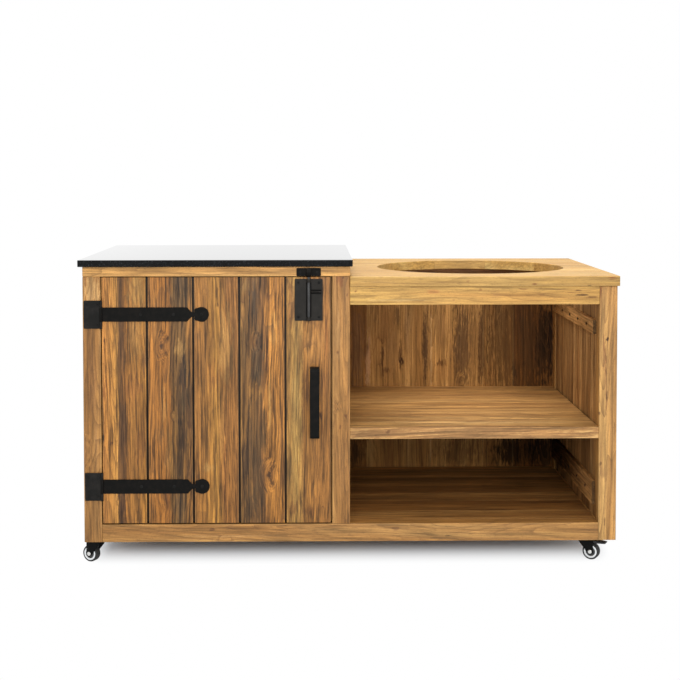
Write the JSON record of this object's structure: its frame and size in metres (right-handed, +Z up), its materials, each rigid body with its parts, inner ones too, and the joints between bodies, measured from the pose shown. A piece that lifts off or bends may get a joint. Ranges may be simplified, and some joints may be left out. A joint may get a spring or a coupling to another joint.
{
  "type": "kamado grill table",
  "caption": "Teak outdoor kitchen table on swivel casters: a cabinet with a strap-hinged door under a black stone top, beside an open bay with a round opening for a kamado grill",
  "frame": {"origin": "on the ground under the middle of the bounding box", "axes": "+X to the right along the length, +Y from front to back, +Z up"},
  "size_m": [1.6, 0.824, 0.91],
  "materials": {
    "teak_frame": "oiled reclaimed teak, light golden, eased edges",
    "teak_walls": "oiled reclaimed teak, mid brown, small knots",
    "teak_shelf": "oiled reclaimed teak, warm golden brown",
    "teak_top": "oiled reclaimed teak, pale golden, filled cracks",
    "teak_door_light": "oiled reclaimed teak, bright golden",
    "teak_door_dark": "oiled reclaimed teak with dark heartwood streaks",
    "granite": "polished black granite, eased edges",
    "black_ironwork": "matt black powder coat",
    "dark_screws": "black coated steel, slightly worn",
    "caster_steel": "black coated pressed steel",
    "axle_steel": "zinc plated steel",
    "hub_plastic": "light grey moulded plastic",
    "tyre": "soft black rubber",
    "pedal_plastic": "black moulded plastic"
  },
  "bodies": {
    "frame": {"post_front_left": "teak_frame", "post_front_middle": "teak_frame", "post_front_right": "teak_frame", "post_rear_left": "teak_frame", "post_rear_middle": "teak_frame", "post_rear_right": "teak_frame", "bottom_rail_front": "teak_frame", "bottom_rail_rear": "teak_frame", "bottom_side_rails": "teak_frame", "apron_front": "teak_frame", "top_rails": "teak_walls", "side_planks": "teak_walls", "partition_planks": "teak_walls", "back_planks": "teak_walls", "floor_boards": "teak_walls", "grill_shelf": "teak_shelf", "cabinet_shelf": "teak_walls", "bearers": "teak_walls", "wall_battens": "teak_walls", "door_stop": "teak_walls", "sub_top": "teak_frame", "kamado_top": "teak_top", "granite_top": "granite", "hinge_plates": "black_ironwork", "hinge_pins": "black_ironwork", "bolt_keeper": "black_ironwork", "frame_screws": "dark_screws", "caster_plate_front_left": "caster_steel", "caster_plate_front_right": "caster_steel", "caster_plate_rear_left": "caster_steel", "caster_plate_rear_right": "caster_steel"},
    "door": {"door_plank_1": "teak_door_light", "door_plank_2": "teak_door_dark", "door_plank_3": "teak_door_light", "door_plank_4": "teak_door_dark", "door_plank_5": "teak_door_light", "door_ledges": "teak_walls", "hinge_straps": "black_ironwork", "bolt_plate": "black_ironwork", "pull_handle": "black_ironwork", "door_screws": "dark_screws"},
    "bolt": {"bolt_rod": "black_ironwork"},
    "caster_front_left": {"caster_fork_front_left": "caster_steel", "caster_axle_front_left": "axle_steel"},
    "wheel_front_left": {"caster_hub_front_left": "hub_plastic", "caster_tyre_front_left": "tyre"},
    "caster_front_right": {"caster_fork_front_right": "caster_steel", "caster_axle_front_right": "axle_steel"},
    "wheel_front_right": {"caster_hub_front_right": "hub_plastic", "caster_tyre_front_right": "tyre"},
    "pedal_front_right": {"brake_pedal_front_right": "pedal_plastic"},
    "caster_rear_left": {"caster_fork_rear_left": "caster_steel", "caster_axle_rear_left": "axle_steel"},
    "wheel_rear_left": {"caster_hub_rear_left": "hub_plastic", "caster_tyre_rear_left": "tyre"},
    "caster_rear_right": {"caster_fork_rear_right": "caster_steel", "caster_axle_rear_right": "axle_steel"},
    "wheel_rear_right": {"caster_hub_rear_right": "hub_plastic", "caster_tyre_rear_right": "tyre"},
    "pedal_rear_right": {"brake_pedal_rear_right": "pedal_plastic"}
  },
  "joints": [
    {"name": "door_hinge", "type": "hinge", "parent": "frame", "child": "door", "pos_m": [-0.7325, -0.3823, 0.4925], "axis": [0, 0, -1], "range_deg": [0, 175]},
    {"name": "bolt_slide", "type": "slide", "parent": "door", "child": "bolt", "axis": [0, 0, 1], "range_m": [0, 0.022]},
    {"name": "swivel_front_left", "type": "hinge", "parent": "frame", "child": "caster_front_left", "pos_m": [-0.755, -0.336, 0.0615], "axis": [0, 0, 1], "continuous": true},
    {"name": "roll_front_left", "type": "hinge", "parent": "caster_front_left", "child": "wheel_front_left", "pos_m": [-0.77387, -0.32679, 0.025], "axis": [-0.4384, -0.8988, 0], "continuous": true},
    {"name": "swivel_front_right", "type": "hinge", "parent": "frame", "child": "caster_front_right", "pos_m": [0.714, -0.318, 0.0615], "axis": [0, 0, 1], "continuous": true},
    {"name": "roll_front_right", "type": "hinge", "parent": "caster_front_right", "child": "wheel_front_right", "pos_m": [0.73228, -0.32834, 0.025], "axis": [0.4924, 0.8704, 0], "continuous": true},
    {"name": "brake_front_right", "type": "hinge", "parent": "caster_front_right", "child": "pedal_front_right", "pos_m": [0.73576, -0.33031, 0.057], "axis": [0.4924, 0.8704, 0], "range_deg": [0, 20]},
    {"name": "swivel_rear_left", "type": "hinge", "parent": "frame", "child": "caster_rear_left", "pos_m": [-0.755, 0.36, 0.0615], "axis": [0, 0, 1], "continuous": true},
    {"name": "roll_rear_left", "type": "hinge", "parent": "caster_rear_left", "child": "wheel_rear_left", "pos_m": [-0.74613, 0.37903, 0.025], "axis": [-0.9063, 0.4226, 0], "continuous": true},
    {"name": "swivel_rear_right", "type": "hinge", "parent": "frame", "child": "caster_rear_right", "pos_m": [0.714, 0.342, 0.0615], "axis": [0, 0, 1], "continuous": true},
    {"name": "roll_rear_right", "type": "hinge", "parent": "caster_rear_right", "child": "wheel_rear_right", "pos_m": [0.69427, 0.33482, 0.025], "axis": [0.342, -0.9397, 0], "continuous": true},
    {"name": "brake_rear_right", "type": "hinge", "parent": "caster_rear_right", "child": "pedal_rear_right", "pos_m": [0.69051, 0.33345, 0.057], "axis": [0.342, -0.9397, 0], "range_deg": [0, 20]}
  ]
}
